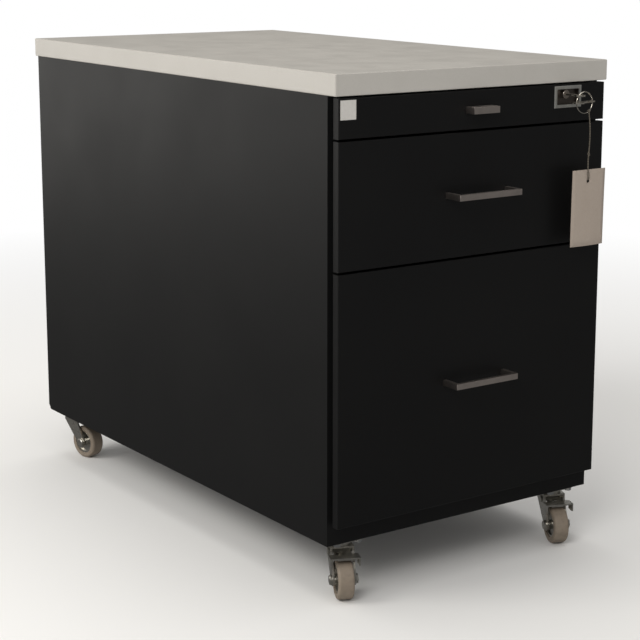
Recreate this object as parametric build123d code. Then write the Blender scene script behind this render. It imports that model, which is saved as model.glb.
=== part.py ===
"""Mobile drawer pedestal: a steel carcass on four casters with a laminate top slab and three lockable drawers.

Frame: millimetres, +X to the right seen from the front, +Y to the back, +Z up.
Origin on the floor under the centre of the object's box. Heights in the carcass
are given from the carcass's lower edge, depths from its front edge.
"""
from build123d import *
from math import atan2, degrees, radians, tan
import os

os.makedirs("parts", exist_ok=True)

# ---- carcass and top slab -------------------------------------------------
carcass_width = 428.0
carcass_depth = 765.0
carcass_height = 552.0
carcass_sheet = 1.2
side_flange = 16.6              # width of the side panel's folded front edge
side_lip = 10.0                 # depth of the lip folded back behind that edge
foot_corner = 7.0               # bevel at each side panel's lower rear corner
slab_thickness = 26.3
slab_side_overhang = 1.0
slab_front_overhang = 17.6
slab_back_overhang = 8.0
slab_edge_radius = 1.6
base_rail_height = 25.5
bottom_flange = 20.0
cross_rail_width = 50.0
cross_rail_sheet = 2.0
cross_rail_inset = 12.0         # from the carcass's front and back edges
notch_clearance = 0.3
slab_screw_radius = 2.0
slab_screw_length = 16.0
slab_screw_head = (4.5, 2.6)    # radius, height
slab_screw_fit = 0.05
slab_screw_inset = 44.0        # of the outer screws from the carcass's sides

# ---- drawer fronts --------------------------------------------------------
front_side_gap = 3.5            # the fronts are narrower than the carcass by this each side
base_reveal = 26.5              # lower edge of the bottom front above the carcass's
front_reach = 17.8              # how far the fronts stand ahead of the carcass edge
front_pan_depth = 11.0
front_sheet = 1.2
front_edge_radius = 1.3
front_heights = {"top": 48.0, "middle": 155.0}
front_gap = 2.6
top_gap = 2.3                   # between the top front and the slab

# ---- drawer boxes and their telescopic rails ------------------------------
box_sheet = 1.0
box_end_gap = {"top": 132.8, "middle": 32.8, "bottom": 32.8}    # to the carcass's back edge
box_headroom = {"top": 4.5, "middle": 28.0, "bottom": 53.0}     # below the front's upper edge
box_rise = {"top": 4.5, "middle": 9.0, "bottom": 10.0}   # floor above the front's lower edge
rail_thickness = 12.7
rail_sheet = 1.2
rail_play = 0.25
rail_edge_gap = 0.6
rail_height = {"top": 27.0, "middle": 45.0, "bottom": 45.0}
rail_end_gap = {"top": 151.0, "middle": 51.0, "bottom": 51.0}   # to the carcass's back edge
rail_rise = {"top": 3.0, "middle": 26.0, "bottom": 52.0}  # rail's lower edge above the box floor
rail_start = 14.0               # behind the carcass's front edge
flange_clearance = 0.7          # rails pass the side panel's folded edge by this
post_width = 25.0
post_sheet = 1.5
front_post_start = 45.0
rear_post_inset = 205.0         # its start from the carcass's back edge
tray_sheet = 2.0
tray_height = 22.0
tray_front_clearance = 40.0     # leaves room for the lock
tray_length = 300.0
tray_fit = 0.3
tray_dividers = (80.0, 150.0)   # distance from the tray's front wall
file_rail_inset = 30.0
file_rail_height = 8.0
file_rail_thickness = 3.0

# ---- handles --------------------------------------------------------------
handle_length = 99.5
handle_height = 7.4
handle_reach = 28.0
handle_bar = 5.0
handle_edge = 1.2
pull_length = 40.5
pull_height = 8.2
pull_reach = 16.4
pull_wall = 3.0
pull_roof = 1.8
pull_rise = 0.4                 # centre above the middle of the top front
handle_rise = {"middle": 1.4, "bottom": 2.9}
handle_screw_radius = 2.0
handle_screw_head = 3.6
handle_screw_head_height = 2.2
handle_screw_depth = 6.0
pull_screw_share = 0.6          # of the bar handles' screw radius
screw_hole_fit = 0.2
thread_fit = 0.05
thread_end_gap = 0.5

# ---- lock, key and tag ----------------------------------------------------
lock_inset = 66.5               # from the front's right edge
lock_drop = 12.7                # below the front's upper edge
bezel_width = 45.5
bezel_height = 27.8
bezel_shift = 2.6               # its middle, to the right of the lock
bezel_drop = 3.2                # its middle, below the lock
bezel_border = 4.0
bezel_proud = 1.4
bezel_wall = 1.0
bezel_floor = 1.5
bezel_recess = 5.0
bezel_fit = 0.2
cylinder_radius = 5.5
cylinder_fit = 0.05
cylinder_front = 1.0            # in front of the drawer front's face
cylinder_tail = 3.0             # half the width of the square tail in the cam
housing_fit = 0.3
housing_radius = 8.5
housing_length = 20.0
cam_thickness = 2.0
cam_gap = 0.3                   # behind the housing
cam_radius = 9.0
crank_radius = 6.0
crank_pin_radius = 1.5
key_turn_degrees = 90.0
slider_thickness = 2.0
slider_height = 6.0
slider_play = 0.4
slider_gap = 0.5                # in its notch, along its thickness
slider_space = 0.6              # behind the cylinder's end
slider_stop_gap = 0.315         # from the nose, thrown out, to the locking bar
locking_bar_inset = 8.8         # from the side panel's inner face
locking_bar_thickness = 2.0
locking_bar_depth = 12.0
locking_bar_start = 11.0
locking_bar_drop = 6.0
locking_bar_low = 60.0
hook_thickness = 4.0
hook_height = 5.0
hook_side_gap = 3.0             # beside the drawer box
catch_reach = 10.0
catch_height = 5.0
catch_gap = 2.0
catch_rise = 15.9               # its middle above the drawer's rail
guide_offsets = (("bottom", -29.4), ("middle", -140.0), ("middle", 40.0))    # from a catch
guide_height = 12.0
guide_wall = 3.0
guide_play = 0.3
hook_rise = 0.6                 # above the catch with the lock open
key_thickness = 2.0
key_blade_width = 6.4
key_blade_inside = 17.0
key_play = 0.12
bow_radius = 7.6
bow_hole_radius = 4.8
bow_hole_distance = 24.6        # from the drawer front's face
ring_radius = 13.0
ring_wire = 1.0
spare_length = 25.0             # blade beyond the bow
spare_turn = 13.0               # degrees, towards the drawer front
tag_width = 56.0
tag_height = 99.0
tag_thickness = 0.7
tag_hole_radius = 2.3
tag_hole_drop = 15.0
tag_hole_shift = 1.5            # to the left of the tag's middle
tag_drop = 95.4                 # its upper edge below the lock
tag_shift = 22.0                # its middle to the right of the lock
string_radius = 0.9
string_gap = 0.15               # between the string and the tag behind it
sticker_width = 22.5
sticker_height = 23.0
sticker_thickness = 0.25
sticker_inset = 2.2
sticker_rise = 10.3             # centre above the middle of the top front

# ---- casters --------------------------------------------------------------
caster_side_inset = 37.5
caster_end_inset = 25.0
plate_size = 42.0
plate_thickness = 2.5
plate_corner = 4.0
bolt_spacing = 32.0
bolt_radius = 2.9
bolt_hole_radius = 3.2
bolt_head = (4.8, 3.6)
race_radius = 12.0
plate_race_height = 2.8
race_gap = 0.3
fork_race_height = 3.9
kingpin_radius = 5.0
kingpin_head = (7.5, 2.5)
kingpin_gap = 0.2
pin_fit = 0.05
fork_sheet = 2.5
fork_side_gap = 2.5             # between tyre and leg
fork_clearance = 12.0           # between tyre and crown
crown_half = 14.0
trail = 22.0
wheel_radius = 25.0
tyre_width = 20.0
tyre_depth = 7.5
tyre_edge = 3.0
hub_inset = 1.5                 # behind the tyre's sides
hub_boss_proud = 0.5            # beyond the tyre's sides
hub_dish = 2.5
hub_rim = 3.0
hub_boss_radius = 6.5
axle_radius = 4.0
axle_head = (6.4, 3.2)
fork_boss = 8.0
hub_gap = 0.05
pedal_pivot_trail = 3.0
pedal_rise = 6.0                # its pivot above the tyre
pedal_pin_radius = 2.5
pedal_pin_head = (4.6, 1.6)
pedal_sheet = 2.0
pedal_arm_gap = 1.5             # inside the fork's legs
pedal_overhang = 4.0            # beyond the fork's legs
pedal_tread_start = 20.0
pedal_tread_end = 36.0
pedal_tab_drop = 8.5
shoe_gap = 0.4
shoe_size = (10.0, 16.0)
pedal_head_gap = 0.3
swivel_directions = {           # from swivel axis towards the wheel, seen from above
    "front_left": (-0.41, -0.91),
    "front_right": (-0.37, -0.93),
    "back_left": (0.235, -0.972),
    "back_right": (0.31, -0.951),
}

# ---- places worked out from the sizes above -------------------------------
crown_top = 2 * wheel_radius + fork_clearance + fork_sheet
caster_height = crown_top + fork_race_height + race_gap + plate_race_height + plate_thickness
fork_inside = tyre_width / 2 + fork_side_gap
fork_outside = fork_inside + fork_sheet
hub_width = tyre_width - 2 * hub_inset
hub_face_width = tyre_width + 2 * hub_boss_proud
pedal_pivot_height = 2 * wheel_radius + pedal_rise
key_reach = bow_hole_distance + bow_radius
overall_depth = key_reach + front_reach + carcass_depth + slab_back_overhang
carcass_front = key_reach + front_reach - overall_depth / 2
face = carcass_front - front_reach
half_width = carcass_width / 2
inner_half = half_width - carcass_sheet
flange_edge = half_width - side_flange
rail_outer = flange_edge - flange_clearance
box_half = rail_outer - rail_thickness
pan_back = face + front_pan_depth
drawers = ("top", "middle", "bottom")
front_width = carcass_width - 2 * front_side_gap
front_top = {"top": carcass_height - top_gap}
front_top["middle"] = front_top["top"] - front_heights["top"] - front_gap
front_top["bottom"] = front_top["middle"] - front_heights["middle"] - front_gap
front_heights["bottom"] = front_top["bottom"] - base_reveal
box_floor = {d: front_top[d] - front_heights[d] + box_rise[d] for d in drawers}
box_wall_height = {d: front_heights[d] - box_rise[d] - box_headroom[d] for d in drawers}
rail_low = {d: box_floor[d] + rail_rise[d] for d in drawers}
rail_length = {d: carcass_depth - rail_start - rail_end_gap[d] for d in drawers}
lock_x = front_width / 2 - lock_inset
lock_height = front_top["top"] - lock_drop
bezel_x = lock_x + bezel_shift
bezel_mid_height = lock_height - bezel_drop
cylinder_back = face + bezel_recess + bezel_floor + housing_length + cam_thickness
slider_front = cylinder_back + slider_space
locking_bar_x = inner_half - locking_bar_inset
slider_end = locking_bar_x - slider_stop_gap - crank_radius * 2**0.5
catch_places = {d: rail_low[d] + rail_height[d] + catch_rise for d in ("middle", "bottom")}
tag_x = lock_x + tag_shift
tag_top_height = lock_height - tag_drop


def depth(distance):
    """Y of a place this far behind the carcass's front edge."""
    return carcass_front + distance


def height(distance):
    """Z of a place this far above the carcass's lower edge."""
    return caster_height + distance


def block(x, y, z):
    """A box between two values on each axis."""
    centre = Pos((x[0] + x[1]) / 2, (y[0] + y[1]) / 2, (z[0] + z[1]) / 2)
    return centre * Box(x[1] - x[0], y[1] - y[0], z[1] - z[0])


def upright(x, y, z, radius):
    """A vertical cylinder between two heights."""
    return Pos(x, y, (z[0] + z[1]) / 2) * Cylinder(radius, z[1] - z[0])


def along_y(x, y, z, radius):
    """A cylinder along Y between two depths."""
    place = Pos(x, (y[0] + y[1]) / 2, z)
    return place * (Rot(90, 0, 0) * Cylinder(radius, y[1] - y[0]))


def other_side(shape):
    """The same shape on the other side of the middle plane."""
    return mirror(shape, about=Plane.YZ)


def save(name, *solids):
    """Write one sub-part from its separate solids."""
    shape = solids[0] if len(solids) == 1 else Compound(children=list(solids))
    export_step(shape, f"parts/{name}.step")


# ---- carcass --------------------------------------------------------------
def side_panel():
    """Right-hand side: an outer sheet folded in at the front, with a lip, and at the top."""
    z = (height(0), height(carcass_height))
    y = (depth(0), depth(carcass_depth))
    skin = block((inner_half, half_width), y, z)
    fold = block((flange_edge, half_width), (y[0], y[0] + carcass_sheet), z)
    lip = block((flange_edge, flange_edge + carcass_sheet), (y[0], y[0] + side_lip), z)
    roof = block((inner_half - side_flange / 2, half_width), y, (z[1] - carcass_sheet, z[1]))
    panel = skin + fold + lip + roof
    corner = Pos(half_width, y[1], z[0]) * Rot(45, 0, 0) * Box(
        side_flange, foot_corner * 2**0.5, foot_corner * 2**0.5)
    return panel - corner


def back_panel():
    x = (-inner_half, inner_half)
    z = (height(foot_corner + 1), height(carcass_height - carcass_sheet))
    return block(x, (depth(carcass_depth - carcass_sheet), depth(carcass_depth)), z)


def caster_places():
    """Swivel axis of each caster, by name."""
    x = half_width - caster_side_inset
    front = depth(caster_end_inset)
    back = depth(carcass_depth - caster_end_inset)
    return {
        "front_left": (-x, front),
        "front_right": (x, front),
        "back_left": (-x, back),
        "back_right": (x, back),
    }


def bolt_places():
    half = bolt_spacing / 2
    corners = [(a, b) for a in (-half, half) for b in (-half, half)]
    return [(x + a, y + b) for x, y in caster_places().values() for a, b in corners]


def bottom_panel():
    y = (depth(carcass_sheet), depth(carcass_depth - carcass_sheet))
    x = inner_half
    z = height(0)
    floor = block((-x, x), y, (z, z + carcass_sheet))
    right = block((x - carcass_sheet, x), (y[0] + side_lip, y[1]), (z, z + bottom_flange))
    holes = [upright(a, b, (z - 1, z + 3), bolt_hole_radius) for a, b in bolt_places()]
    lips = [flange_notch(s) for s in (1, -1)]
    panel = floor + right + other_side(right)
    for cut in holes + lips:
        panel -= cut
    return panel


def flange_notch(side):
    """Clears the lip behind a side panel's folded front edge."""
    x = sorted((side * (flange_edge - notch_clearance), side * (half_width + 1)))
    y = (depth(0), depth(side_lip + notch_clearance))
    return block(x, y, (height(-1), height(carcass_sheet + 1)))


def front_base_rail():
    """The strip that closes the carcass under the bottom drawer, folded back at its top."""
    x = (-flange_edge, flange_edge)
    y = depth(0)
    face_sheet = block(x, (y, y + carcass_sheet), (height(0), height(base_rail_height)))
    top_fold = block(x, (y, y + side_lip),
                     (height(base_rail_height - carcass_sheet), height(base_rail_height)))
    return face_sheet + top_fold


def cross_rail_ranges():
    front = depth(cross_rail_inset)
    back = depth(carcass_depth - cross_rail_inset)
    return ((front, front + cross_rail_width), (back - cross_rail_width, back))


def slab_screw_places():
    places = []
    spread = half_width - slab_screw_inset
    for y in cross_rail_ranges():
        for x in (-spread, 0, spread):
            places.append((x, sum(y) / 2))
    return places


def top_cross_rails():
    z = (height(carcass_height - cross_rail_sheet), height(carcass_height))
    reach = inner_half - side_flange / 2
    rails = []
    for y in cross_rail_ranges():
        rail = block((-reach, reach), y, z)
        for a, b in slab_screw_places():
            rail -= upright(a, b, (z[0] - 1, z[1] + 1), slab_screw_radius + screw_hole_fit)
        rails.append(rail)
    return rails


def top_slab():
    """The laminate board, with small rounded edges and blind holes for its screws."""
    x = half_width + slab_side_overhang
    y = (depth(-slab_front_overhang), depth(carcass_depth + slab_back_overhang))
    z = (height(carcass_height), height(carcass_height) + slab_thickness)
    slab = block((-x, x), y, z)
    slab = fillet(slab.edges(), slab_edge_radius)
    for a, b in slab_screw_places():
        slab -= upright(a, b, (z[0] - 1, z[0] + slab_screw_length - 1),
                        slab_screw_radius + slab_screw_fit)
    return slab


def slab_screws():
    under = height(carcass_height - cross_rail_sheet)
    screws = []
    for a, b in slab_screw_places():
        head = upright(a, b, (under - slab_screw_head[1], under), slab_screw_head[0])
        shank = upright(a, b, (under, under + slab_screw_length), slab_screw_radius)
        screws.append(head + shank)
    return screws


def slide_posts():
    """Four hat-shaped uprights that carry the rails, open towards the side panels."""
    posts = []
    z = (height(carcass_sheet), height(carcass_height - cross_rail_sheet))
    for start in (front_post_start, carcass_depth - rear_post_inset):
        y = (depth(start), depth(start + post_width))
        outer = block((rail_outer, inner_half), y, z)
        inner = block((rail_outer + post_sheet, inner_half + 1),
                      (y[0] + post_sheet, y[1] - post_sheet), z)
        foot = block((inner_half - carcass_sheet, inner_half + 1), y,
                     (z[0] - 1, height(bottom_flange)))
        roof = block((inner_half - side_flange / 2, inner_half + 1), y,
                     (height(carcass_height - carcass_sheet), z[1] + 1))
        right = outer - inner - foot - roof
        posts += [right, other_side(right)]
    return posts


# ---- rails ----------------------------------------------------------------
def channel(x_web, x_edge, y, z):
    """A folded channel: a web with two flanges, given its web side and its open side."""
    step = rail_sheet if x_edge > x_web else -rail_sheet
    web = block(sorted((x_web, x_web + step)), y, z)
    low = block(sorted((x_web, x_edge)), y, (z[0], z[0] + rail_sheet))
    high = block(sorted((x_web, x_edge)), y, (z[1] - rail_sheet, z[1]))
    return web + low + high


def rail_span(drawer):
    return (depth(rail_start), depth(rail_start + rail_length[drawer]))


def rail_heights(drawer, nesting):
    """Lower and upper height of a rail member; each nesting step fits inside the one before."""
    low = height(rail_low[drawer])
    step = nesting * (rail_sheet + rail_play)
    return (low + step, low + rail_height[drawer] - step)


def cabinet_rail(drawer):
    return channel(rail_outer, box_half + rail_edge_gap, rail_span(drawer), rail_heights(drawer, 0))


def intermediate_rail(drawer):
    outer = rail_outer - rail_sheet - rail_play
    inner = box_half + rail_sheet + rail_edge_gap
    return channel(outer, inner, rail_span(drawer), rail_heights(drawer, 1))


def drawer_rail(drawer, nesting):
    outer = rail_outer - nesting * (rail_sheet + rail_play) - rail_edge_gap
    return channel(box_half, outer, rail_span(drawer), rail_heights(drawer, nesting))


def pair(shape):
    return [shape, other_side(shape)]


# ---- drawers --------------------------------------------------------------
def front_pan(drawer):
    """A drawer front: a folded steel pan, open at its back where the box closes it."""
    z1 = height(front_top[drawer])
    z0 = z1 - front_heights[drawer]
    x = front_width / 2
    pan = block((-x, x), (face, pan_back), (z0, z1))
    front_edges = pan.edges().filter_by_position(Axis.Y, face - 0.1, face + 0.1)
    pan = fillet(front_edges, front_edge_radius)
    s = front_sheet
    pan -= block((-x + s, x - s), (face + s, pan_back + 1), (z0 + s, z1 - s))
    for a, b in screw_places(drawer):
        pan -= along_y(a, (face - 1, face + 3), b, handle_screw_radius + screw_hole_fit)
    return pan


def box_span(drawer):
    """Depths of a drawer box's front and back ends."""
    return (pan_back - box_sheet, depth(carcass_depth - box_end_gap[drawer]))


def box_heights(drawer):
    low = height(box_floor[drawer])
    return (low, low + box_wall_height[drawer])


def box_front_sheet(drawer):
    """The box's front wall, as large as the front pan's opening."""
    x = front_width / 2 - front_sheet
    y = box_span(drawer)[0]
    low = height(front_top[drawer] - front_heights[drawer]) + front_sheet
    return block((-x, x), (y, y + box_sheet), (low, height(front_top[drawer]) - front_sheet))


def box_side_sheet(drawer):
    """The right-hand wall, which stands on the floor sheet."""
    y = box_span(drawer)
    z = box_heights(drawer)
    return block((box_half - box_sheet, box_half), (y[0] + box_sheet, y[1]), (z[0] + box_sheet, z[1]))


def box_floor_sheet(drawer):
    y = box_span(drawer)
    z = box_heights(drawer)[0]
    return block((-box_half, box_half), (y[0] + box_sheet, y[1]), (z, z + box_sheet))


def box_back_sheet(drawer):
    y = box_span(drawer)[1]
    z = box_heights(drawer)
    x = box_half - box_sheet
    return block((-x, x), (y - box_sheet, y), (z[0] + box_sheet, z[1]))


def box_sheets(drawer):
    """A steel drawer box, welded from its front wall, floor, back and two side walls."""
    right = box_side_sheet(drawer)
    return [box_front_sheet(drawer), box_floor_sheet(drawer), box_back_sheet(drawer),
            right, other_side(right)]


def top_box_sheets():
    """The shallow box, cut for the lock's body and for its slider."""
    front, floor, back, right, left = box_sheets("top")
    front -= along_y(lock_x, (pan_back - 5, pan_back + 5), height(lock_height),
                     housing_radius + housing_fit)
    right -= block((box_half - 3, box_half + 1),
                   (slider_front - slider_gap, slider_front + slider_thickness + slider_gap),
                   (slider_heights()[0] - slider_play, height(carcass_height)))
    return [front, floor, back, right, left]


def catch(drawer):
    """A block on the right side of a drawer box, which the locking bar's hook holds."""
    z = height(catch_places[drawer])
    y = depth(locking_bar_start) + hook_thickness + catch_gap
    return block((box_half, box_half + catch_reach), (y, y + hook_thickness),
                 (z - catch_height / 2, z + catch_height / 2))


def screw_places(drawer):
    """Where a handle's two screws pass through its drawer front."""
    z = height(front_top[drawer] - front_heights[drawer] / 2)
    if drawer == "top":
        x = (pull_length - pull_wall) / 2
        return [(-x, z + pull_rise), (x, z + pull_rise)]
    x = (handle_length - handle_bar) / 2
    z += handle_rise[drawer]
    return [(-x, z), (x, z)]


def screw_radius(drawer):
    return handle_screw_radius * (pull_screw_share if drawer == "top" else 1)


def handle_screws(drawer):
    """Two screws from inside the front pan into the handle's feet."""
    radius = screw_radius(drawer)
    screws = []
    for x, z in screw_places(drawer):
        back = face + front_sheet
        head = along_y(x, (back, back + handle_screw_head_height), z, handle_screw_head)
        shank = along_y(x, (face - handle_screw_depth, back), z, radius)
        screws.append(head + shank)
    return screws


def bar_handle(drawer):
    """A square-cornered U of flat bar, drilled for its screws."""
    z = screw_places(drawer)[0][1]
    half = handle_length / 2
    outer = block((-half, half), (face - handle_reach, face),
                  (z - handle_height / 2, z + handle_height / 2))
    upright_edges = outer.edges().filter_by(Axis.Z)
    front_edges = upright_edges.filter_by_position(
        Axis.Y, face - handle_reach - 0.1, face - handle_reach + 0.1)
    outer = fillet(front_edges, handle_edge)
    inner = block((-half + handle_bar, half - handle_bar),
                  (face - handle_reach + handle_bar, face + 1),
                  (z - handle_height, z + handle_height))
    bar = outer - inner
    for a, b in screw_places(drawer):
        bar -= along_y(a, (face - handle_screw_depth - thread_end_gap, face + 1), b,
                       screw_radius(drawer) + thread_fit)
    return bar


def tab_pull():
    """The short pull: a closed roof and ends with a finger hollow open below."""
    z = screw_places("top")[0][1]
    half = pull_length / 2
    outer = block((-half, half), (face - pull_reach, face),
                  (z - pull_height / 2, z + pull_height / 2))
    inner = block((-half + pull_wall, half - pull_wall),
                  (face - pull_reach + pull_wall, face + 1),
                  (z - pull_height, z + pull_height / 2 - pull_roof))
    pull = outer - inner
    for a, b in screw_places("top"):
        pull -= along_y(a, (face - handle_screw_depth - thread_end_gap, face + 1), b,
                        screw_radius("top") + thread_fit)
    return pull


def pencil_tray():
    """A moulded insert that lies in the shallow drawer, with two cross walls."""
    s = tray_sheet
    x = box_half - box_sheet - tray_fit
    y0 = pan_back + tray_front_clearance
    z0 = height(box_floor["top"]) + box_sheet
    tray = block((-x, x), (y0, y0 + tray_length), (z0, z0 + tray_height))
    ends = (0,) + tray_dividers + (tray_length - s,)
    for near, far in zip(ends[:-1], ends[1:]):
        tray -= block((-x + s, x - s), (y0 + near + s, y0 + far), (z0 + s, z0 + tray_height + 1))
    return tray


def hanging_file_rails():
    """Two strips standing on the deep box's side walls, for hanging files."""
    z = height(box_floor["bottom"]) + box_wall_height["bottom"]
    span = box_span("bottom")
    y = (span[0] + file_rail_inset, span[1] - file_rail_inset)
    right = block((box_half - file_rail_thickness, box_half), y, (z, z + file_rail_height))
    return pair(right)


def label_sticker():
    x0 = -front_width / 2 + sticker_inset
    z = height(front_top["top"] - front_heights["top"] / 2) + sticker_rise
    return block((x0, x0 + sticker_width), (face - sticker_thickness, face),
                 (z - sticker_height / 2, z + sticker_height / 2))


# ---- lock -----------------------------------------------------------------
def slider_heights():
    """The crank pin's height when the lock is open, plus and minus half the slider."""
    z = height(lock_height) + crank_radius * 2**-0.5
    return (z - slider_height / 2, z + slider_height / 2)


def bezel_cut(extra):
    """The opening that the bezel's cup fills, grown by a clearance."""
    x = bezel_width / 2 - bezel_border + bezel_wall + extra
    z = bezel_height / 2 - bezel_border + bezel_wall + extra
    mid = height(bezel_mid_height)
    return block((bezel_x - x, bezel_x + x),
                 (face - 1, face + bezel_recess + bezel_floor), (mid - z, mid + z))


def lock_bezel():
    """A rectangular frame around a cup that the cylinder stands in."""
    mid = height(bezel_mid_height)
    x, z = bezel_width / 2, bezel_height / 2
    frame = block((bezel_x - x, bezel_x + x), (face - bezel_proud, face), (mid - z, mid + z))
    frame = chamfer(frame.edges().filter_by_position(
        Axis.Y, face - bezel_proud - 0.1, face - bezel_proud + 0.1), 0.5)
    cup = bezel_cut(0) & block((0, half_width), (face, pan_back), (mid - 50, mid + 50))
    x, z = x - bezel_border, z - bezel_border
    hollow = block((bezel_x - x, bezel_x + x), (face - 5, face + bezel_recess), (mid - z, mid + z))
    bore = along_y(lock_x, (face, pan_back), height(lock_height), cylinder_radius + 0.3)
    return frame + cup - hollow - bore


def lock_housing():
    start = face + bezel_recess + bezel_floor
    z = height(lock_height)
    body = along_y(lock_x, (start, start + housing_length), z, housing_radius)
    return body - along_y(lock_x, (start - 1, start + housing_length + 1), z,
                          cylinder_radius + cylinder_fit)


def key_slot(extra):
    """The key blade's section, grown by a clearance, from in front of the cylinder to its end."""
    x = key_blade_width / 2 + extra
    z = key_thickness / 2 + extra
    mid = height(lock_height)
    return block((lock_x - x, lock_x + x), (face - cylinder_front - 1, face + key_blade_inside + extra),
                 (mid - z, mid + z))


def lock_cylinder():
    z = height(lock_height)
    front = face - cylinder_front
    plug = along_y(lock_x, (front, cylinder_back - cam_thickness + cam_gap), z, cylinder_radius)
    plug = chamfer(plug.edges().filter_by_position(Axis.Y, front - 0.1, front + 0.1), 0.6)
    tail = block((lock_x - cylinder_tail, lock_x + cylinder_tail),
                 (cylinder_back - cam_thickness, cylinder_back + cam_gap),
                 (z - cylinder_tail, z + cylinder_tail))
    return plug + tail - key_slot(key_play)


def lock_cam():
    """A disc behind the housing, with a crank pin that drives the slider."""
    z = height(lock_height)
    y = (cylinder_back - cam_thickness + cam_gap, cylinder_back + cam_gap)
    disc = along_y(lock_x, y, z, cam_radius)
    disc -= block((lock_x - cylinder_tail, lock_x + cylinder_tail), (y[0] - 1, y[1] + 1),
                  (z - cylinder_tail, z + cylinder_tail))
    offset = crank_radius * 2**-0.5
    pin = along_y(lock_x - offset, (y[1], slider_front + slider_thickness + 1), z + offset,
                  crank_pin_radius)
    return disc + pin


def lock_slider():
    """A flat bolt behind the top front, slotted for the crank pin."""
    y = (slider_front, slider_front + slider_thickness)
    z = slider_heights()
    offset = crank_radius * 2**-0.5
    start = lock_x - offset - crank_pin_radius - 3
    bolt = block((start, slider_end), y, z)
    eye = block((start, lock_x - offset + crank_pin_radius + 3), y, (z[0] - 2, z[1] + 2.5))
    slot = block((lock_x - offset - crank_pin_radius - slider_play,
                  lock_x - offset + crank_pin_radius + slider_play),
                 (y[0] - 1, y[1] + 1),
                 (height(lock_height) + offset - crank_pin_radius - slider_play,
                  height(lock_height) + crank_radius + crank_pin_radius + slider_play))
    return bolt + eye - slot


def hook(drawer):
    """A tooth on the locking bar that stops a drawer's catch once the bar has dropped."""
    z = height(catch_places[drawer]) + catch_height / 2 + hook_rise
    y = depth(locking_bar_start)
    return block((box_half + hook_side_gap, locking_bar_x + 0.1), (y, y + hook_thickness),
                 (z, z + hook_height))


def locking_bar():
    x = (locking_bar_x, locking_bar_x + locking_bar_thickness)
    y = depth(locking_bar_start)
    top = slider_heights()[1] + 1
    bar = block(x, (y, y + locking_bar_depth), (height(locking_bar_low), top))
    return bar + hook("middle") + hook("bottom")


def locking_bar_guides():
    """Blocks on the right side panel that the locking bar slides through."""
    guides = []
    y = (depth(locking_bar_start), depth(locking_bar_start + locking_bar_depth))
    x = (locking_bar_x - guide_play, locking_bar_x + locking_bar_thickness + guide_play)
    for drawer, offset in guide_offsets:
        low = height(catch_places[drawer] + offset)
        guide = block((locking_bar_x - guide_wall, inner_half),
                      (y[0] - guide_wall, y[1] + guide_wall), (low, low + guide_height))
        guides.append(guide - block(x, (y[0] - guide_play, y[1] + guide_play),
                                    (low - 1, low + guide_height + 1)))
    return guides


# ---- key, ring and tag ----------------------------------------------------
def key_blank(blade, tip_cuts):
    """A flat key lying in the XY plane: bow hole at the origin, blade towards +Y."""
    bow = Cylinder(bow_radius, key_thickness)
    stem = Pos(0, blade / 2, 0) * Box(key_blade_width, blade, key_thickness)
    hole = Cylinder(bow_hole_radius, key_thickness * 3)
    key = bow + stem - hole
    for place, cut in tip_cuts:
        key -= Pos(key_blade_width / 2, blade - place, 0) * Box(cut * 2, 2.0, key_thickness * 3)
    return key


def bow_place():
    return (lock_x, face - bow_hole_distance, height(lock_height))


def key():
    blade = bow_hole_distance + key_blade_inside
    return Pos(*bow_place()) * key_blank(blade, ((3, 0.9), (6.5, 1.3), (10, 0.7)))


def ring_centre():
    x, y, z = bow_place()
    offset = ring_radius * 2**-0.5
    return (x + offset, y, z - offset)


def key_ring():
    return Pos(*ring_centre()) * (Rot(90, 0, 0) * Torus(ring_radius, ring_wire))


def spare_key():
    """Hangs on the ring's left, its blade behind the ring's right side."""
    x, y, z = ring_centre()
    slack = bow_hole_radius - ring_wire - 0.3
    blank = key_blank(bow_radius + spare_length, ((3, 0.9), (6.5, 1.3), (10, 0.7)))
    turned = Pos(slack, 0, 0) * (Rot(0, 0, -90) * blank)
    return Pos(x - ring_radius, y, z) * (Rot(0, 0, spare_turn) * turned)


def string_points():
    """The string's route, from the ring's lower right to the hole in the tag."""
    x, y, z = ring_centre()
    start = (x + 8.1, y, z - 12.0)
    end = (tag_x - tag_hole_shift, y, height(tag_top_height) - tag_hole_drop + 1.0)
    return [
        start,
        (start[0] + 2.4, y, start[2] - 14),
        (start[0] + 3.4, y, start[2] - 32),
        (start[0] + 2.2, y, start[2] - 52),
        (start[0] + 0.6, y, start[2] - 68),
        end,
    ]


def string_radii(points):
    """As large an arc at each inner point as its two runs allow."""
    corners = [Vector(*p) for p in points]
    radii = []
    for before, here, after in zip(corners, corners[1:], corners[2:]):
        turn = (here - before).get_angle(after - here)
        shorter = min((here - before).length, (after - here).length)
        radii.append(0.45 * shorter / tan(radians(turn / 2)))
    return radii


def tag_string():
    points = string_points()
    radii = string_radii(points)
    print("string radii", [round(r) for r in radii])
    path = FilletPolyline(*points, radius=radii)
    start = Plane(origin=points[0], z_dir=Vector(*points[1]) - Vector(*points[0]))
    tube = sweep(start * Circle(string_radius), path=path)
    print("string length", round(path.length, 1), "volume", round(tube.volume, 1))
    return tube


def tag():
    """A card that hangs just behind the string's lower end."""
    x = tag_x
    y = ring_centre()[1] + string_radius + string_gap + tag_thickness / 2
    z1 = height(tag_top_height)
    card = block((x - tag_width / 2, x + tag_width / 2),
                 (y - tag_thickness / 2, y + tag_thickness / 2), (z1 - tag_height, z1))
    return card - along_y(x - tag_hole_shift, (y - 5, y + 5), z1 - tag_hole_drop, tag_hole_radius)


# ---- casters --------------------------------------------------------------
# Each caster is made with its swivel axis on Z and its wheel trailing along +X.
def placed(name, shape):
    """A caster's piece at its own corner, turned to the way its wheel trails."""
    x, y = caster_places()[name]
    ahead, across = swivel_directions[name]
    return Pos(x, y, 0) * (Rot(0, 0, degrees(atan2(across, ahead))) * shape)


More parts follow.
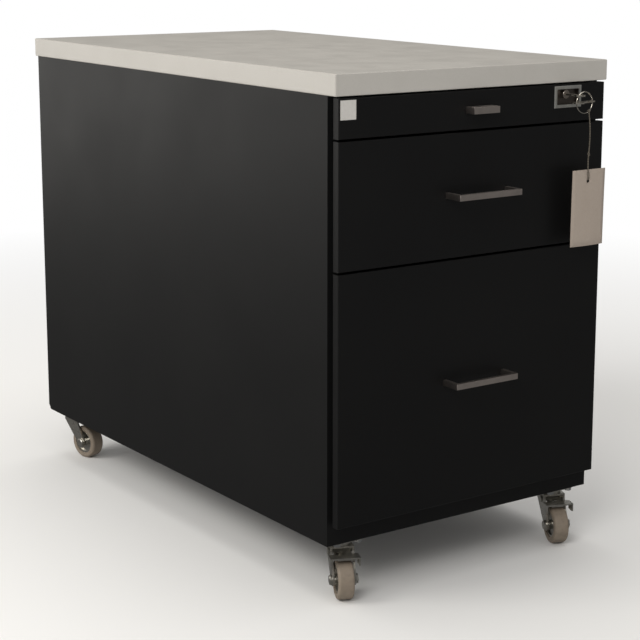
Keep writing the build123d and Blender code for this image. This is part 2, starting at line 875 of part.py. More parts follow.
def caster_plate(x, y):
    """The square plate with its ball race and the riveted pin that the fork turns on."""
    half = plate_size / 2
    low = caster_height - plate_thickness
    plate = block((x - half, x + half), (y - half, y + half), (low, caster_height))
    plate = fillet(plate.edges().filter_by(Axis.Z), plate_corner)
    hole = bolt_spacing / 2
    for a in (-hole, hole):
        for b in (-hole, hole):
            plate -= upright(x + a, y + b, (low - 1, caster_height + 1), bolt_hole_radius)
    race = upright(x, y, (low - plate_race_height, low), race_radius)
    bottom = crown_top - fork_sheet
    pin = upright(x, y, (bottom - 1, low), kingpin_radius)
    head = upright(x, y, (bottom - kingpin_gap - kingpin_head[1], bottom - kingpin_gap),
                   kingpin_head[0])
    return plate + race + pin + head


def caster_bolts():
    """A bolt at each corner of each plate, with its nut above the bottom panel."""
    radius, tall = bolt_head
    low = caster_height - plate_thickness
    top = height(carcass_sheet)
    bolts = []
    for x, y in bolt_places():
        head = Pos(x, y, low - tall / 2) * extrude(RegularPolygon(radius, 6), tall / 2, both=True)
        nut = Pos(x, y, top + tall / 2) * extrude(RegularPolygon(radius, 6), tall / 2, both=True)
        bolts.append(head + upright(x, y, (low, top + tall), bolt_radius) + nut)
    return bolts


def fork_leg(side):
    """One bent-down leg: broad at the crown and tapering to a round boss at the axle."""
    with BuildSketch(Plane.XZ) as outline:
        with BuildLine():
            Polyline((-crown_half, crown_top), (-crown_half, crown_top - 7),
                     (trail - fork_boss, wheel_radius), (trail + fork_boss, wheel_radius),
                     (crown_half, crown_top - 6), (crown_half, crown_top), (-crown_half, crown_top))
        make_face()
        with Locations((trail, wheel_radius)):
            Circle(fork_boss)
    leg = extrude(outline.sketch, -fork_sheet)
    inner = fork_inside if side > 0 else -fork_inside - fork_sheet
    return Pos(0, inner, 0) * leg


def fork(braked):
    """Crown and legs folded from one plate, with a raised ring under the plate's race."""
    crown = block((-crown_half, crown_half), (-fork_outside, fork_outside),
                  (crown_top - fork_sheet, crown_top))
    ring = upright(0, 0, (crown_top, crown_top + fork_race_height), race_radius + 1)
    shape = crown + ring + fork_leg(1) + fork_leg(-1)
    shape -= upright(0, 0, (crown_top - 10, caster_height), kingpin_radius + pin_fit)
    axle_hole = Pos(trail, 0, wheel_radius) * (Rot(90, 0, 0) * Cylinder(axle_radius + 0.1, 80))
    shape -= axle_hole
    if braked:
        pin_hole = Rot(90, 0, 0) * Cylinder(pedal_pin_radius + pin_fit, 80)
        shape -= Pos(pedal_pivot_trail, 0, pedal_pivot_height) * pin_hole
    return shape


def axle():
    """A bolt through the fork and wheel, with a round head and a lock nut."""
    radius, tall = axle_head
    shank = Cylinder(axle_radius, 2 * fork_outside)
    end = fork_outside + tall
    head = Pos(0, 0, end - tall / 2) * Cylinder(radius, tall)
    head = chamfer(head.edges().filter_by_position(Axis.Z, end - 0.1, end + 0.1), 1)
    nut = Pos(0, 0, tall / 2 - end) * extrude(RegularPolygon(radius, 6), tall / 2, both=True)
    return Pos(trail, 0, wheel_radius) * (Rot(90, 0, 0) * (shank + head + nut))


def wheel_hub():
    """A pressed disc with a bearing boss each side, bored for the axle."""
    radius = wheel_radius - tyre_depth - hub_gap
    disc = Cylinder(radius, hub_width)
    dish = Cylinder(radius - hub_rim, hub_width) - Cylinder(hub_boss_radius, hub_width + 1)
    disc -= Pos(0, 0, hub_width - hub_dish) * dish
    disc -= Pos(0, 0, hub_dish - hub_width) * dish
    hub = disc + Cylinder(hub_boss_radius, hub_face_width)
    hub -= Cylinder(axle_radius + pin_fit, hub_face_width + 2)
    return Pos(trail, 0, wheel_radius) * (Rot(90, 0, 0) * hub)


def tyre():
    ring = Cylinder(wheel_radius, tyre_width)
    rims = ring.edges().filter_by(GeomType.CIRCLE)
    ring = fillet(rims, tyre_edge)
    ring -= Cylinder(wheel_radius - tyre_depth, tyre_width + 2)
    return Pos(trail, 0, wheel_radius) * (Rot(90, 0, 0) * ring)


def brake_pedal():
    """A stamped lever on a pin through the fork, with a tread, turned-down ends and a shoe."""
    z = (pedal_pivot_height - pedal_sheet / 2, pedal_pivot_height + pedal_sheet / 2)
    arm_half = fork_inside - pedal_arm_gap
    pedal_half = fork_outside + pedal_overhang
    arm = block((pedal_pivot_trail, pedal_tread_start + 1), (-arm_half, arm_half), z)
    tread = block((pedal_tread_start, pedal_tread_end), (-pedal_half, pedal_half), z)
    tab = block((pedal_tread_start + 3, pedal_tread_end), (pedal_half - pedal_sheet, pedal_half),
                (z[0] - pedal_tab_drop, z[1]))
    shoe_low = 2 * wheel_radius + shoe_gap
    length, width = shoe_size
    shoe = block((trail - length / 2, trail + length / 2), (-width / 2, width / 2),
                 (shoe_low, z[1]))
    radius, tall = pedal_pin_head
    outer = fork_outside + pedal_head_gap
    pin = Cylinder(pedal_pin_radius, 2 * outer)
    pin += Pos(0, 0, outer + tall / 2) * Cylinder(radius, tall)
    pin += Pos(0, 0, -outer - tall / 2) * Cylinder(radius, tall)
    pin = Pos(pedal_pivot_trail, 0, pedal_pivot_height) * (Rot(90, 0, 0) * pin)
    return arm + tread + tab + mirror(tab, about=Plane.XZ) + shoe + pin


# ---- every sub-part, by name ----------------------------------------------
save("top_slab", top_slab())
save("slab_screws", *slab_screws())
save("left_side_panel", other_side(side_panel()))
save("right_side_panel", side_panel())
save("back_panel", back_panel())
save("bottom_panel", bottom_panel())
save("front_base_rail", front_base_rail())
save("top_cross_rails", *top_cross_rails())
save("slide_posts", *slide_posts())
save("cabinet_rails", *[rail for d in drawers for rail in pair(cabinet_rail(d))])
save("locking_bar", locking_bar())
save("locking_bar_guides", *locking_bar_guides())

save("top_drawer_box", *top_box_sheets())
save("middle_drawer_box", *box_sheets("middle"), catch("middle"))
save("bottom_drawer_box", *box_sheets("bottom"), catch("bottom"))
save("top_drawer_front", front_pan("top") - bezel_cut(bezel_fit))
save("middle_drawer_front", front_pan("middle"))
save("bottom_drawer_front", front_pan("bottom"))
save("top_drawer_rails", *pair(drawer_rail("top", 1)))
save("top_drawer_pull", tab_pull(), *handle_screws("top"))
for drawer in ("middle", "bottom"):
    save(f"{drawer}_drawer_rails", *pair(drawer_rail(drawer, 2)))
    save(f"{drawer}_intermediate_rails", *pair(intermediate_rail(drawer)))
    save(f"{drawer}_drawer_handle", bar_handle(drawer), *handle_screws(drawer))
save("pencil_tray", pencil_tray())
save("hanging_file_rails", *hanging_file_rails())
save("label_sticker", label_sticker())

save("lock_bezel", lock_bezel())
save("lock_housing", lock_housing())
save("lock_cylinder", lock_cylinder())
save("lock_cam", lock_cam())
save("lock_slider", lock_slider())
save("key", key())
save("key_ring", key_ring())
save("spare_key", spare_key())
save("tag_string", tag_string())
save("tag", tag())

save("caster_plates", *[caster_plate(x, y) for x, y in caster_places().values()])
save("caster_bolts", *caster_bolts())
for corner in caster_places():
    braked = corner.startswith("front")
    save(f"{corner}_fork", placed(corner, fork(braked)))
    save(f"{corner}_axle", placed(corner, axle()))
    save(f"{corner}_wheel_hub", placed(corner, wheel_hub()))
    save(f"{corner}_tyre", placed(corner, tyre()))
    if braked:
        save(f"{corner}_brake_pedal", placed(corner, brake_pedal()))
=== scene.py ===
"""The looks of a mobile drawer pedestal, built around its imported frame.

Metres, +X to the right seen from the front, +Y to the back, +Z up. Most pieces keep their CAD
meshes and only get a finish here. The handles and the tag's card are made from their CAD
meshes, and the string, its knot and hitch and the split ring are new.
"""
from math import cos, pi, radians, sin

import bmesh
import bpy
from mathutils import Matrix, Vector


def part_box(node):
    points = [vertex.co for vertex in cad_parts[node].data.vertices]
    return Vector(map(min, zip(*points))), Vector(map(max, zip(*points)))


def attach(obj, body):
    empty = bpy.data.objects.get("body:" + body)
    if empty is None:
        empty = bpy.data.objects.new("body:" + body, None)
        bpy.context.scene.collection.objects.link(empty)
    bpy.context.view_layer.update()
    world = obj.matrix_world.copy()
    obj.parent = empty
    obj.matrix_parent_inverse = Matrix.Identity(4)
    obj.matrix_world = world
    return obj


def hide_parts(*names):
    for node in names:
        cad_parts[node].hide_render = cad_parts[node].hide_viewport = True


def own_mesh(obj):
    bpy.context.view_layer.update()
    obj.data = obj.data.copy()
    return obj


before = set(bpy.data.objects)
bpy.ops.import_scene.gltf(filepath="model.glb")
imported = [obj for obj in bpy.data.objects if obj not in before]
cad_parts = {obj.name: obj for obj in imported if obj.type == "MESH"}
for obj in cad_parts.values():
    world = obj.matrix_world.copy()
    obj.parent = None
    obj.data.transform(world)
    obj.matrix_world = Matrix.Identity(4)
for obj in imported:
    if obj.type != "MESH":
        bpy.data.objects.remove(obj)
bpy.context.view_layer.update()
MM = 0.001
weld = 0.001 * MM               # corners of a CAD mesh nearer than this are one

# ---- camera ---------------------------------------------------------------
camera_place = (-1.36098, -2.00348, 0.81434)
camera_heading = 35.7065        # degrees from +Y towards +X
camera_dip = 11.4692            # degrees below the horizon
camera_roll = 0.224
camera_lens = 96.95             # mm, on a 36 mm sensor
camera_shift = (-0.0469, -0.0625)


def add_camera():
    heading, dip, roll = (radians(a) for a in (camera_heading, camera_dip, camera_roll))
    ahead = Vector((sin(heading) * cos(dip), cos(heading) * cos(dip), -sin(dip)))
    level = Vector((cos(heading), -sin(heading), 0))
    above = level.cross(ahead)
    right = cos(roll) * level + sin(roll) * above
    up = cos(roll) * above - sin(roll) * level
    data = bpy.data.cameras.new("camera")
    data.lens = camera_lens
    data.shift_x, data.shift_y = camera_shift
    camera = bpy.data.objects.new("camera", data)
    turn = Matrix((right, up, -ahead)).transposed().to_4x4()
    camera.matrix_world = Matrix.Translation(camera_place) @ turn
    bpy.context.scene.collection.objects.link(camera)
    bpy.context.scene.camera = camera


# ---- floor and light ------------------------------------------------------
floor_size = 30.0
floor_colour = (0.86, 0.855, 0.845)
floor_roughness = 0.9
white_from, white_to = 0.75, 2.4     # distances over which the floor fades to white
sky_colour = (1.0, 0.985, 0.96)
sky_strength = {"seen": 1.0, "glossy": 0.13, "diffuse": 0.42}


def add_light(name, place, target, width, height, power, colour):
    """A soft box of width by height that faces the target."""
    data = bpy.data.lights.new(name, "AREA")
    data.shape = "RECTANGLE"
    data.size, data.size_y = width, height
    data.energy = power
    data.color = colour
    light = bpy.data.objects.new(name, data)
    light.location = place
    light.rotation_mode = "QUATERNION"
    light.rotation_quaternion = (Vector(target) - Vector(place)).to_track_quat("-Z", "Y")
    light.visible_camera = False
    bpy.context.scene.collection.objects.link(light)


def add_sky():
    """White to the eye, dimmer as light, and dark in reflections, as in a dark studio."""
    world = bpy.data.worlds.new("sky")
    world.use_nodes = True
    nodes, links = world.node_tree.nodes, world.node_tree.links
    nodes.clear()
    ray = nodes.new("ShaderNodeLightPath")
    shader = None
    for kind, test in (("diffuse", None), ("glossy", "Is Glossy Ray"), ("seen", "Is Camera Ray")):
        background = nodes.new("ShaderNodeBackground")
        colour = (1, 1, 1) if kind == "seen" else sky_colour
        background.inputs["Color"].default_value = (*colour, 1)
        background.inputs["Strength"].default_value = sky_strength[kind]
        if test:
            mix = nodes.new("ShaderNodeMixShader")
            links.new(ray.outputs[test], mix.inputs[0])
            links.new(shader, mix.inputs[1])
            links.new(background.outputs[0], mix.inputs[2])
            shader = mix.outputs[0]
        else:
            shader = background.outputs[0]
    links.new(shader, nodes.new("ShaderNodeOutputWorld").inputs["Surface"])
    bpy.context.scene.world = world


def add_studio():
    bpy.context.scene.view_settings.view_transform = "Standard"
    add_sky()
    middle = (0, 0, 0.4)
    warm, neutral = (1, 0.975, 0.93), (1, 0.985, 0.96)
    add_light("rear_left_card", (-1.8, 2.4, 0.72), (-0.2, 0.0, 0.4), 2.2, 1.25, 11, warm)
    add_light("rear_right_card", (2.3, 2.0, 0.33), (0.1, 0.1, 0.35), 2.4, 0.5, 9, neutral)
    add_light("side_softbox", (-2.6, 0.6, 2.0), (-0.2, 0, 0.5), 1.4, 1.0, 30, warm)
    add_light("front_left_softbox", (-2.4, -1.8, 2.4), middle, 1.6, 1.6, 42, neutral)
    add_light("top_softbox", (0.2, 0.2, 3.0), middle, 2.4, 2.4, 37, neutral)


def add_floor():
    """A pale floor that fades to white further out, and isn't seen in reflections."""
    mesh = bpy.data.meshes.new("floor")
    half = floor_size / 2
    corners = [(-half, -half, 0), (half, -half, 0), (half, half, 0), (-half, half, 0)]
    mesh.from_pydata(corners, [], [(0, 1, 2, 3)])
    floor = bpy.data.objects.new("floor", mesh)
    floor.visible_glossy = False
    bpy.context.scene.collection.objects.link(floor)
    finish = Finish("floor", floor_colour, floor_roughness)
    finish.bump(finish.noise(60, 3), 0.1, 0.2 * MM)
    away = finish.nodes.new("ShaderNodeVectorMath")
    away.operation = "LENGTH"
    finish.links.new(finish.place, away.inputs[0])
    white = finish.nodes.new("ShaderNodeEmission")
    mix = finish.nodes.new("ShaderNodeMixShader")
    finish.links.new(finish.scaled(away.outputs["Value"], white_from, white_to), mix.inputs[0])
    finish.links.new(finish.shader.outputs[0], mix.inputs[1])
    finish.links.new(white.outputs[0], mix.inputs[2])
    finish.links.new(mix.outputs[0], finish.nodes["Material Output"].inputs["Surface"])
    mesh.materials.append(finish.material)


# ---- finishes -------------------------------------------------------------
noise_range = (0.3, 0.7)        # where nearly all of a noise's values lie


class Finish:
    """A procedural material: a Principled shader, with short calls for the nodes that feed it."""

    def __init__(self, name, colour, roughness, metallic=0.0, **sockets):
        self.material = bpy.data.materials.new(name)
        self.material.use_nodes = True
        self.nodes = self.material.node_tree.nodes
        self.links = self.material.node_tree.links
        self.shader = self.nodes["Principled BSDF"]
        self.set("Base Color", (*colour, 1))
        self.set("Roughness", roughness)
        self.set("Metallic", metallic)
        for socket, value in sockets.items():
            self.set(socket.replace("_", " "), value)
        self.place = self.nodes.new("ShaderNodeTexCoord").outputs["Object"]
        self.surface = None

    def set(self, socket, value):
        """A constant on one of the shader's own sockets."""
        self.shader.inputs[socket].default_value = value

    def stretched(self, stretch):
        """Object coordinates, scaled by a factor on each axis."""
        node = self.nodes.new("ShaderNodeMapping")
        node.inputs["Scale"].default_value = stretch
        self.links.new(self.place, node.inputs["Vector"])
        return node.outputs["Vector"]

    def noise(self, scale, detail=2.0, stretch=(1, 1, 1)):
        """A noise of this many features per metre."""
        node = self.nodes.new("ShaderNodeTexNoise")
        node.inputs["Scale"].default_value = scale
        node.inputs["Detail"].default_value = detail
        self.links.new(self.stretched(stretch), node.inputs["Vector"])
        return node.outputs["Fac"]

    def cells(self, scale, stretch=(1, 1, 1)):
        """The distance to the nearest of random points."""
        node = self.nodes.new("ShaderNodeTexVoronoi")
        node.inputs["Scale"].default_value = scale
        self.links.new(self.stretched(stretch), node.inputs["Vector"])
        return node.outputs["Distance"]

    def along(self, axis):
        """One coordinate of the piece, in metres."""
        node = self.nodes.new("ShaderNodeSeparateXYZ")
        self.links.new(self.place, node.inputs["Vector"])
        return node.outputs[axis]

    def scaled(self, value, low, high, to_low=0.0, to_high=1.0):
        """value taken from one range to another, held at its ends."""
        node = self.nodes.new("ShaderNodeMapRange")
        for socket, number in zip(("From Min", "From Max", "To Min", "To Max"),
                                  (low, high, to_low, to_high)):
            node.inputs[socket].default_value = number
        self.links.new(value, node.inputs["Value"])
        return node.outputs["Result"]

    def times(self, a, b):
        """The product of two values."""
        node = self.nodes.new("ShaderNodeMath")
        node.operation = "MULTIPLY"
        self.links.new(a, node.inputs[0])
        self.links.new(b, node.inputs[1])
        return node.outputs["Value"]

    def tint(self, factor, colour):
        """The base colour, mixed with another where factor is 1."""
        node = self.nodes.new("ShaderNodeMix")
        node.data_type = "RGBA"
        socket = self.shader.inputs["Base Color"]
        before = next((link for link in self.links if link.to_socket == socket), None)
        if before:
            self.links.new(before.from_socket, node.inputs["A"])
        else:
            node.inputs["A"].default_value = socket.default_value
        node.inputs["B"].default_value = (*colour, 1)
        self.links.new(factor, node.inputs["Factor"])
        self.links.new(node.outputs["Result"], socket)
        return self

    def roughen(self, source, smooth, rough):
        """A roughness that follows source between two values."""
        value = self.scaled(source, *noise_range, smooth, rough)
        self.links.new(value, self.shader.inputs["Roughness"])
        return self

    def bump(self, source, strength, distance):
        """One more layer of relief, over those before it."""
        node = self.nodes.new("ShaderNodeBump")
        node.inputs["Strength"].default_value = strength
        node.inputs["Distance"].default_value = distance
        self.links.new(source, node.inputs["Height"])
        if self.surface:
            self.links.new(self.surface, node.inputs["Normal"])
        self.surface = node.outputs["Normal"]
        self.links.new(self.surface, self.shader.inputs["Normal"])
        return self


def powder_coat(name, colour=(0.0045, 0.0045, 0.0047)):
    """Black powder coat: fine orange peel, faint blotches and a few pale specks of dust."""
    finish = Finish(name, colour, 0.4, Specular_IOR_Level=0.3)
    finish.roughen(finish.noise(9, 3), 0.37, 0.43)
    finish.tint(finish.scaled(finish.noise(5, 3), 0.35, 0.65, 0, 0.4), (0.0065, 0.0065, 0.0063))
    specks = finish.scaled(finish.cells(45), 0.018, 0.03, 1, 0)
    rare = finish.scaled(finish.noise(11, 1), 0.56, 0.62)
    finish.tint(finish.times(specks, rare), (0.035, 0.035, 0.035))
    finish.bump(finish.noise(650, 2), 0.2, 0.04 * MM)
    finish.bump(finish.noise(14, 2), 0.15, 0.2 * MM)
    return finish


def laminate():
    """Off-white laminate with faint streaks, a barely visible print and a satin surface."""
    finish = Finish("slab_laminate", (0.455, 0.435, 0.40), 0.38)
    finish.tint(finish.scaled(finish.noise(420, 3), 0.45, 0.7, 0, 0.25), (0.41, 0.39, 0.355))
    streaks = finish.noise(26, 3, (1, 0.05, 1))
    finish.tint(finish.scaled(streaks, 0.45, 0.7, 0, 0.5), (0.425, 0.405, 0.37))
    finish.roughen(finish.noise(24, 3), 0.34, 0.46)
    finish.bump(finish.noise(900, 2), 0.12, 0.02 * MM)
    return finish


def brushed_steel(name, colour, stretch, roughness=(0.3, 0.42)):
    """Steel with fine lines along the axis that stretch makes small."""
    finish = Finish(name, colour, 0.36, 1.0)
    lines = finish.noise(900, 3, stretch)
    finish.roughen(lines, *roughness)
    finish.tint(finish.scaled(finish.noise(60, 2), 0.4, 0.7, 0, 0.5), tuple(0.75 * c for c in colour))
    finish.bump(lines, 0.3, 0.03 * MM)
    return finish


recess_shade_from, recess_shade_to = 1.6 * MM, 2.4 * MM     # depth at which painted shade darkens the lock's frame inside its recess


def bezel_silver():
    """The lock's frame: brushed in front, with painted shade darkening it inside its recess."""
    finish = brushed_steel("lock_silver", (0.84, 0.84, 0.80), (0.08, 1, 1), (0.35, 0.5))
    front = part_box("lock_bezel")[0][1]
    # painted shade: the frame turns dark brown-grey deeper into its recess
    painted_recess_shade = finish.scaled(finish.along("Y"), front + recess_shade_from, front + recess_shade_to)
    finish.tint(painted_recess_shade, (0.17, 0.15, 0.135))
    return finish


def plated(name, colour, roughness=(0.22, 0.4), dull=0.55):
    """Zinc or nickel plate with cloudy dull patches and small pits."""
    finish = Finish(name, colour, 0.3, 1.0)
    clouds = finish.noise(90, 4)
    finish.roughen(clouds, *roughness)
    finish.tint(finish.scaled(clouds, 0.45, 0.75, 0, 0.6), tuple(dull * c for c in colour))
    finish.bump(finish.noise(1500, 2), 0.2, 0.03 * MM)
    return finish


def rubber():
    """Greyish beige tyre with dust in patches and a rubbed tread."""
    finish = Finish("tyre_rubber", (0.235, 0.19, 0.145), 0.6)
    finish.tint(finish.scaled(finish.noise(120, 4), 0.45, 0.7, 0, 0.6), (0.17, 0.135, 0.105))
    finish.tint(finish.scaled(finish.noise(40, 2), 0.5, 0.75, 0, 0.5), (0.29, 0.245, 0.195))
    finish.roughen(finish.noise(200, 2), 0.5, 0.7)
    finish.bump(finish.noise(800, 3), 0.35, 0.06 * MM)
    return finish


def moulded_plastic():
    """Dark grey tray plastic with a fine spark-eroded grain."""
    finish = Finish("tray_plastic", (0.05, 0.052, 0.055), 0.5)
    finish.roughen(finish.noise(40, 3), 0.42, 0.55)
    finish.tint(finish.scaled(finish.noise(15, 2), 0.4, 0.7, 0, 0.5), (0.065, 0.067, 0.07))
    finish.bump(finish.cells(1400), 0.3, 0.05 * MM)
    return finish


def inner_paint():
    """Mid-grey paint of the drawer boxes, thin and a little scuffed."""
    finish = Finish("inner_grey_metal", (0.17, 0.172, 0.175), 0.45)
    finish.tint(finish.scaled(finish.noise(8, 4), 0.4, 0.7, 0, 0.6), (0.14, 0.142, 0.145))
    scuffs = finish.scaled(finish.noise(50, 3, (1, 0.06, 1)), 0.66, 0.72)
    finish.tint(scuffs, (0.19, 0.19, 0.19))
    finish.roughen(finish.noise(16, 3), 0.38, 0.52)
    finish.bump(finish.noise(500, 2), 0.2, 0.05 * MM)
    return finish


def paper(name, colour, stain):
    """Card or label stock: fine fibres, faint stains and a matt surface."""
    finish = Finish(name, colour, 0.75)
    finish.tint(finish.scaled(finish.noise(700, 4, (1, 1, 0.4)), 0.42, 0.65, 0, 0.25), stain)
    finish.tint(finish.scaled(finish.noise(35, 3), 0.5, 0.75, 0, 0.35), stain)
    finish.roughen(finish.noise(300, 2), 0.68, 0.85)
    finish.bump(finish.noise(900, 4), 0.3, 0.04 * MM)
    return finish


def twine():
    """Dark greyish jute."""
    finish = Finish("twine", (0.10, 0.085, 0.065), 0.85)
    finish.tint(finish.scaled(finish.noise(1500, 3), 0.4, 0.65), (0.165, 0.143, 0.112))
    finish.roughen(finish.noise(700, 2), 0.78, 0.95)
    finish.bump(finish.noise(4000, 3), 0.6, 0.08 * MM)
    return finish


def finish_nodes():
    """Give every CAD node its finish."""
    black = powder_coat("powder_black")
    zinc = brushed_steel("zinc_steel", (0.60, 0.61, 0.62), (1, 0.06, 1))
    caster_zinc = plated("caster_zinc", (0.62, 0.60, 0.55), (0.24, 0.4), 0.5)
    grey = inner_paint()
    handle = brushed_steel("handle_steel", (0.76, 0.68, 0.63), (0.05, 1, 1))
    cylinder = plated("cylinder_steel", (0.55, 0.49, 0.44), (0.3, 0.45))
    nickel = plated("key_nickel", (0.80, 0.75, 0.67), (0.2, 0.34))
    tyre = rubber()
    finishes = {
        "top_slab": laminate(),
        "pencil_tray": moulded_plastic(),
        "label_sticker": paper("sticker_white", (0.55, 0.53, 0.50), (0.44, 0.42, 0.39)),
        "lock_bezel": bezel_silver(),
        "tag": paper("tag_card", (0.375, 0.315, 0.265), (0.32, 0.265, 0.215)),
        "tag_string": twine(),
    }
    groups = (
        (black, ("left_side_panel", "right_side_panel", "back_panel", "bottom_panel",
                 "front_base_rail", "top_drawer_front", "middle_drawer_front",
                 "bottom_drawer_front")),
        (grey, ("top_cross_rails", "slide_posts", "top_drawer_box", "middle_drawer_box",
                "bottom_drawer_box", "hanging_file_rails")),
        (zinc, ("slab_screws", "cabinet_rails", "locking_bar", "locking_bar_guides",
                "top_drawer_rails", "middle_drawer_rails", "bottom_drawer_rails",
                "middle_intermediate_rails", "bottom_intermediate_rails", "lock_housing",
                "lock_cam", "lock_slider", "caster_bolts")),
        (handle, ("top_drawer_pull", "middle_drawer_handle", "bottom_drawer_handle")),
        (cylinder, ("lock_cylinder",)),
        (nickel, ("key", "key_ring", "spare_key")),
        (caster_zinc, ("caster_plates",)),
    )
    for finish, names in groups:
        for name in names:
            finishes[name] = finish
    for name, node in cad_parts.items():
        finish = finishes.get(name) or (tyre if name.endswith("_tyre") else caster_zinc)
        if not node.material_slots:
            node.data.materials.append(None)
        for slot in node.material_slots:
            slot.material = finish.material
    return finishes


# ---- the string, its tag and the split ring -------------------------------
string_route = (                # the middle of the string, from the ring to the tag's hole
    (0.161292, -0.4039, 0.589808),
    (0.163692, -0.4039, 0.575808),
    (0.164692, -0.4039, 0.557808),
    (0.163492, -0.4039, 0.537808),
    (0.161892, -0.4039, 0.521808),
    (0.1645, -0.4039, 0.5016),
)
string_thickness = 1.8 * MM
string_length = 88.6 * MM
string_steps = 48               # points to each span of the smooth line
strand_radius = string_thickness / 4
twist_pitch = 6.5 * MM          # one turn of the two strands round each other
split_from = 0.83               # the strands part beyond this share of the string
split_gap = 1.3 * MM            # from the middle of the parted strands to each
unwind_rate = 3                 # how soon they stop turning once they part
hole_from = 0.975               # the strands go in through the hole from this share on
hole_depth = 2.2 * MM
knot_place = 0.62               # share of the string at the knot
knot_size = 1.25 * MM
knot_shape = (0.45, 0.7, 0.6)   # its reach across, in depth and in height
knot_steps = 60
hitch_turns = 2.3
hitch_rise = 0.55 * string_thickness    # per turn along the ring's wire
hitch_gap = 0.1 * MM
hitch_steps = 64
ring_turns = 1.93
ring_start = 0.9                # radians, where the split ring's wire begins
ring_wire = 0.48 * MM           # radius of the wire
ring_spread = 1.02              # the turns lie this many wire radii from the ring's plane
ring_step = 0.12                # share of a turn in which the wire steps across
ring_steps = 192
ring_sides = 10
card_cuts = 10                  # strips across and down the card
card_curl = 2.2 * MM            # how far the card's lower corners bend back
card_bow = 0.4                  # its whole lower end bends forwards by this share of that
edge_rounding = 0.8 * MM        # of the handles
edge_segments = 3
sharp_angle = radians(40)
flat_angle = radians(1)
depthwise = Vector((0, 1, 0))


def smooth_line(route, steps):
    """Points on the smooth line that has the route as its control points."""
    curve = bpy.data.curves.new("route", "CURVE")
    curve.dimensions = "3D"
    spline = curve.splines.new("NURBS")
    spline.points.add(len(route) - 1)
    for point, place in zip(spline.points, route):
        point.co = (*place, 1)
    spline.order_u = 3
    spline.use_endpoint_u = True
    spline.resolution_u = steps
    holder = bpy.data.objects.new("route", curve)
    mesh = bpy.data.meshes.new_from_object(holder)
    points = [vertex.co.copy() for vertex in mesh.vertices]
    bpy.data.objects.remove(holder)
    bpy.data.curves.remove(curve)
    bpy.data.meshes.remove(mesh)
    return points


def directions(points):
    """The line's direction at each point."""
    last = len(points) - 1
    return [(points[min(i + 1, last)] - points[max(i - 1, 0)]).normalized()
            for i in range(len(points))]


def add_tube(bm, points, radius, sides=8):
    """A closed tube along the points."""
    normal = directions(points)[0].orthogonal().normalized()
    rings = []
    for point, ahead in zip(points, directions(points)):
        normal = (normal - normal.dot(ahead) * ahead).normalized()
        side = ahead.cross(normal)
        rings.append([bm.verts.new(point + radius * (cos(a) * normal + sin(a) * side))
                      for a in (2 * pi * k / sides for k in range(sides))])
    for one, two in zip(rings, rings[1:]):
        for k in range(sides):
            bm.faces.new((one[k - 1], one[k], two[k], two[k - 1]))
    bm.faces.new(list(reversed(rings[0])))
    bm.faces.new(rings[-1])


def new_piece(name, bm, finish, body, slot, *replaced):
    """An object from bm that rides on a body, and stands for the CAD nodes it replaces."""
    bmesh.ops.recalc_face_normals(bm, faces=bm.faces)
    mesh = bpy.data.meshes.new(name)
    bm.to_mesh(mesh)
    bm.free()
    mesh.polygons.foreach_set("use_smooth", [True] * len(mesh.polygons))
    mesh.materials.append(finish.material)
    piece = bpy.data.objects.new(name, mesh)
    bpy.context.scene.collection.objects.link(piece)
    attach(piece, body)
    if replaced:
        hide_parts(*replaced)
    return piece


def shares(points):
    """How far along the line each point is, from 0 to 1."""
    far = [0.0]
    for one, two in zip(points, points[1:]):
        far.append(far[-1] + (two - one).length)
    return [d / far[-1] for d in far]


def string_strands(middle):
    """Two strands twisted round each other, parting where they go down to the tag's hole."""
    bm = bmesh.new()
    turns = string_length / twist_pitch
    for side in (0, pi):
        strand = []
        for point, ahead, share in zip(middle, directions(middle), shares(middle)):
            level = ahead.cross(depthwise).normalized()
            apart = max(0.0, (share - split_from) / (1 - split_from))
            twist = side + 2 * pi * turns * min(share, split_from)
            turned = cos(twist) * level + sin(twist) * depthwise
            parted = cos(side) * level
            offset = turned.lerp(parted, min(1.0, unwind_rate * apart)).normalized()
            reach = strand_radius + (split_gap - strand_radius) * sin(pi * apart)
            through = max(0.0, (share - hole_from) / (1 - hole_from)) * hole_depth
            strand.append(point + reach * offset + through * depthwise)
        add_tube(bm, strand, strand_radius)
    return bm


def string_knot(centre):
    """An overhand knot: a small three-lobed loop, drawn tight."""
    bm = bmesh.new()
    across, deep, high = knot_shape
    loop = []
    for k in range(knot_steps):
        a = 2 * pi * k / knot_steps
        wave = 2 + cos(3 * a)
        place = Vector((wave * cos(2 * a) * across, sin(3 * a) * deep, wave * sin(2 * a) * high))
        loop.append(centre + knot_size * place)
    add_tube(bm, loop, strand_radius)
    return bm


def string_hitch(ring_centre, ring_radius, start):
    """The string's turns round the ring's wire, above the place where it hangs free."""
    bm = bmesh.new()
    out = (Vector(start) - ring_centre).normalized()
    tangent = out.cross(depthwise)
    centre = ring_centre + ring_radius * out
    reach = 2 * ring_wire + strand_radius + hitch_gap
    loop = []
    for k in range(hitch_steps + 1):
        turn = hitch_turns * k / hitch_steps
        a = 2 * pi * turn
        rise = (turn - hitch_turns / 2) * hitch_rise
        loop.append(centre + reach * (cos(a) * out + sin(a) * depthwise) + rise * tangent)
    add_tube(bm, loop, strand_radius)
    return bm


def split_ring(centre, radius):
    """Nearly two turns of wire, side by side, that step across in a short stretch."""
    bm = bmesh.new()
    wire = []
    for k in range(ring_steps + 1):
        turn = ring_turns * k / ring_steps
        step = min(1.0, max(0.0, (turn - ring_turns / 2) / ring_step + 0.5))
        step = step * step * (3 - 2 * step)
        a = 2 * pi * turn + ring_start
        aside = ring_wire * (2 * step - 1) * ring_spread
        wire.append(centre + Vector((radius * cos(a), aside, radius * sin(a))))
    add_tube(bm, wire, ring_wire, ring_sides)
    return bm


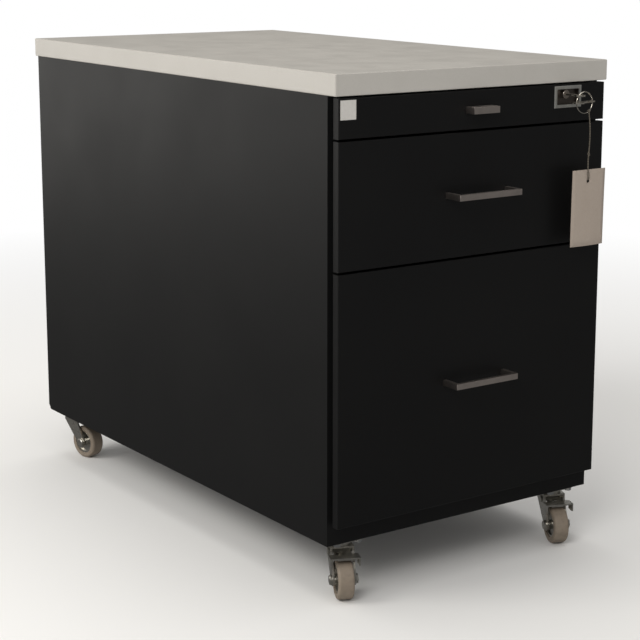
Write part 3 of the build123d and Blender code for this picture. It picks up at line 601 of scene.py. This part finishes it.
def cad_mesh(node):
    """A node's own mesh as a bmesh, with its triangles joined up."""
    bm = bmesh.new()
    bm.from_mesh(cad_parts[node].data)
    bmesh.ops.remove_doubles(bm, verts=bm.verts, dist=weld)
    return bm


def tag_card():
    """The CAD's card, cut finer and slightly curled."""
    low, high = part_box("tag")
    bm = cad_mesh("tag")
    for axis in (0, 2):
        for k in range(1, card_cuts):
            place = [0, 0, 0]
            place[axis] = low[axis] + (high[axis] - low[axis]) * k / card_cuts
            along = [float(i == axis) for i in range(3)]
            geometry = list(bm.verts) + list(bm.edges) + list(bm.faces)
            bmesh.ops.bisect_plane(bm, geom=geometry, plane_co=place, plane_no=along)
    middle = (low[0] + high[0]) / 2
    half = (high[0] - low[0]) / 2
    for vertex in bm.verts:
        x = (vertex.co.x - middle) / half
        drop = (high[2] - vertex.co.z) / (high[2] - low[2])
        vertex.co.y += card_curl * (x * x * drop - card_bow * drop * drop)
    return bm


def bevelled(node):
    """A CAD node's mesh with its sharp edges rounded."""
    bm = cad_mesh(node)
    bmesh.ops.dissolve_limit(bm, angle_limit=flat_angle, verts=bm.verts, edges=bm.edges)
    sharp = [edge for edge in bm.edges
             if len(edge.link_faces) == 2 and edge.calc_face_angle() > sharp_angle]
    bmesh.ops.bevel(bm, geom=sharp, offset=edge_rounding, segments=edge_segments, profile=0.5,
                    affect="EDGES", clamp_overlap=True)
    return bm


def add_key_tag(finishes):
    """The split ring, and the string that hangs from it with its knot, hitch and card."""
    low, high = (Vector(corner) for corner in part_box("key_ring"))
    centre = (low + high) / 2
    radius = (high.x - low.x) / 2 - ring_wire
    card, jute = finishes["tag"], finishes["tag_string"]
    new_piece("split_ring", split_ring(centre, radius), finishes["key_ring"], "key_ring",
              "key_nickel", "key_ring")
    middle = smooth_line(string_route, string_steps)
    knot_at = min(zip(shares(middle), middle), key=lambda pair: abs(pair[0] - knot_place))[1]
    string = new_piece("twine_string", string_strands(middle), jute, "key_ring", "twine",
                       "tag_string")
    knot = new_piece("twine_knot", string_knot(knot_at), jute, "key_ring", "twine")
    hitch = new_piece("twine_hitch", string_hitch(centre, radius, string_route[0]), jute,
                      "key_ring", "twine")
    tag = new_piece("card_tag", tag_card(), card, "key_ring", "card", "tag")
    for piece in (string, knot, hitch, tag):
        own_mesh(piece)


def add_handles(finishes):
    """The bars and the pull again, with softened edges."""
    for drawer, part in (("top_drawer", "pull"), ("middle_drawer", "handle"),
                         ("bottom_drawer", "handle")):
        node = f"{drawer}_{part}"
        new_piece(f"{drawer}_bar", bevelled(node), finishes[node], drawer, "handle_steel", node)


add_camera()
add_studio()
add_floor()
finishes = finish_nodes()
add_key_tag(finishes)
add_handles(finishes)
